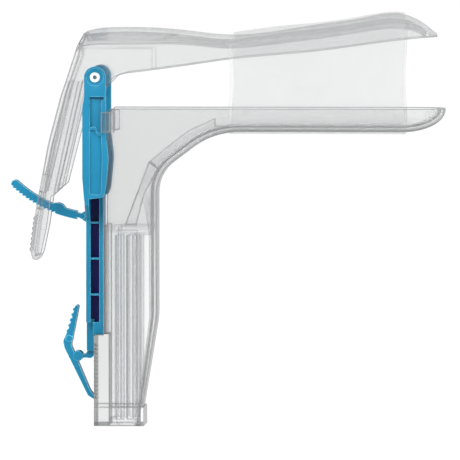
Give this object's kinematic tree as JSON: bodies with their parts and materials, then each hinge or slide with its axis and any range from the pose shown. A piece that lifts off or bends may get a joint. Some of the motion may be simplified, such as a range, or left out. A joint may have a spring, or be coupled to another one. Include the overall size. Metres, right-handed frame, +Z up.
{
  "type": "bivalve speculum",
  "caption": "Clear bivalve speculum with a film sleeve round its bills, a blue height slide, an angle ratchet and a light socket up the handle.",
  "frame": {"origin": "centre of the light socket's mouth, in the foot of the handle", "axes": "+Z up the handle, +X along the bills towards their tips, +Y across the instrument"},
  "size_m": [0.1606, 0.0354, 0.153],
  "materials": {
    "clear_acrylic": "polished clear injection-moulded acrylic",
    "channel_acrylic": "clear ribbed acrylic insert",
    "guide_acrylic": "clear polished light pipe",
    "blue_slide": "teal-blue moulded plastic with a satin gloss",
    "film": "thin milky film"
  },
  "bodies": {
    "body": {"lower_bill": "clear_acrylic", "light_channel": "channel_acrylic", "light_guide_collector": "guide_acrylic", "light_guide_outlet": "guide_acrylic", "sleeve": "film"},
    "slide": {"yoke": "blue_slide", "latch_spring": "blue_slide"},
    "bill": {"upper_bill": "clear_acrylic"},
    "arm": {"ratchet_arm": "blue_slide"},
    "latch": {"height_latch": "blue_slide"}
  },
  "joints": [
    {"name": "yoke_slide", "type": "slide", "parent": "body", "child": "slide", "axis": [0, 0, 1], "range_m": [0, 0.018], "deforming": ["sleeve"]},
    {"name": "upper_bill_tilt", "type": "hinge", "parent": "slide", "child": "bill", "pos_m": [-0.01085, 0, 0.129], "axis": [0, -1, 0], "range_deg": [-12, 12], "deforming": ["sleeve"]},
    {"name": "ratchet_arm_flex", "type": "hinge", "parent": "slide", "child": "arm", "pos_m": [-0.01647, 0, 0.0773], "axis": [0, 1, 0], "range_deg": [-2, 2.2], "stiffness_Nm_per_rad": 0.05},
    {"name": "height_latch_squeeze", "type": "hinge", "parent": "slide", "child": "latch", "pos_m": [-0.0181, 0, 0.0255], "axis": [0, 1, 0], "range_deg": [-1.5, 7], "stiffness_Nm_per_rad": 0.1}
  ]
}
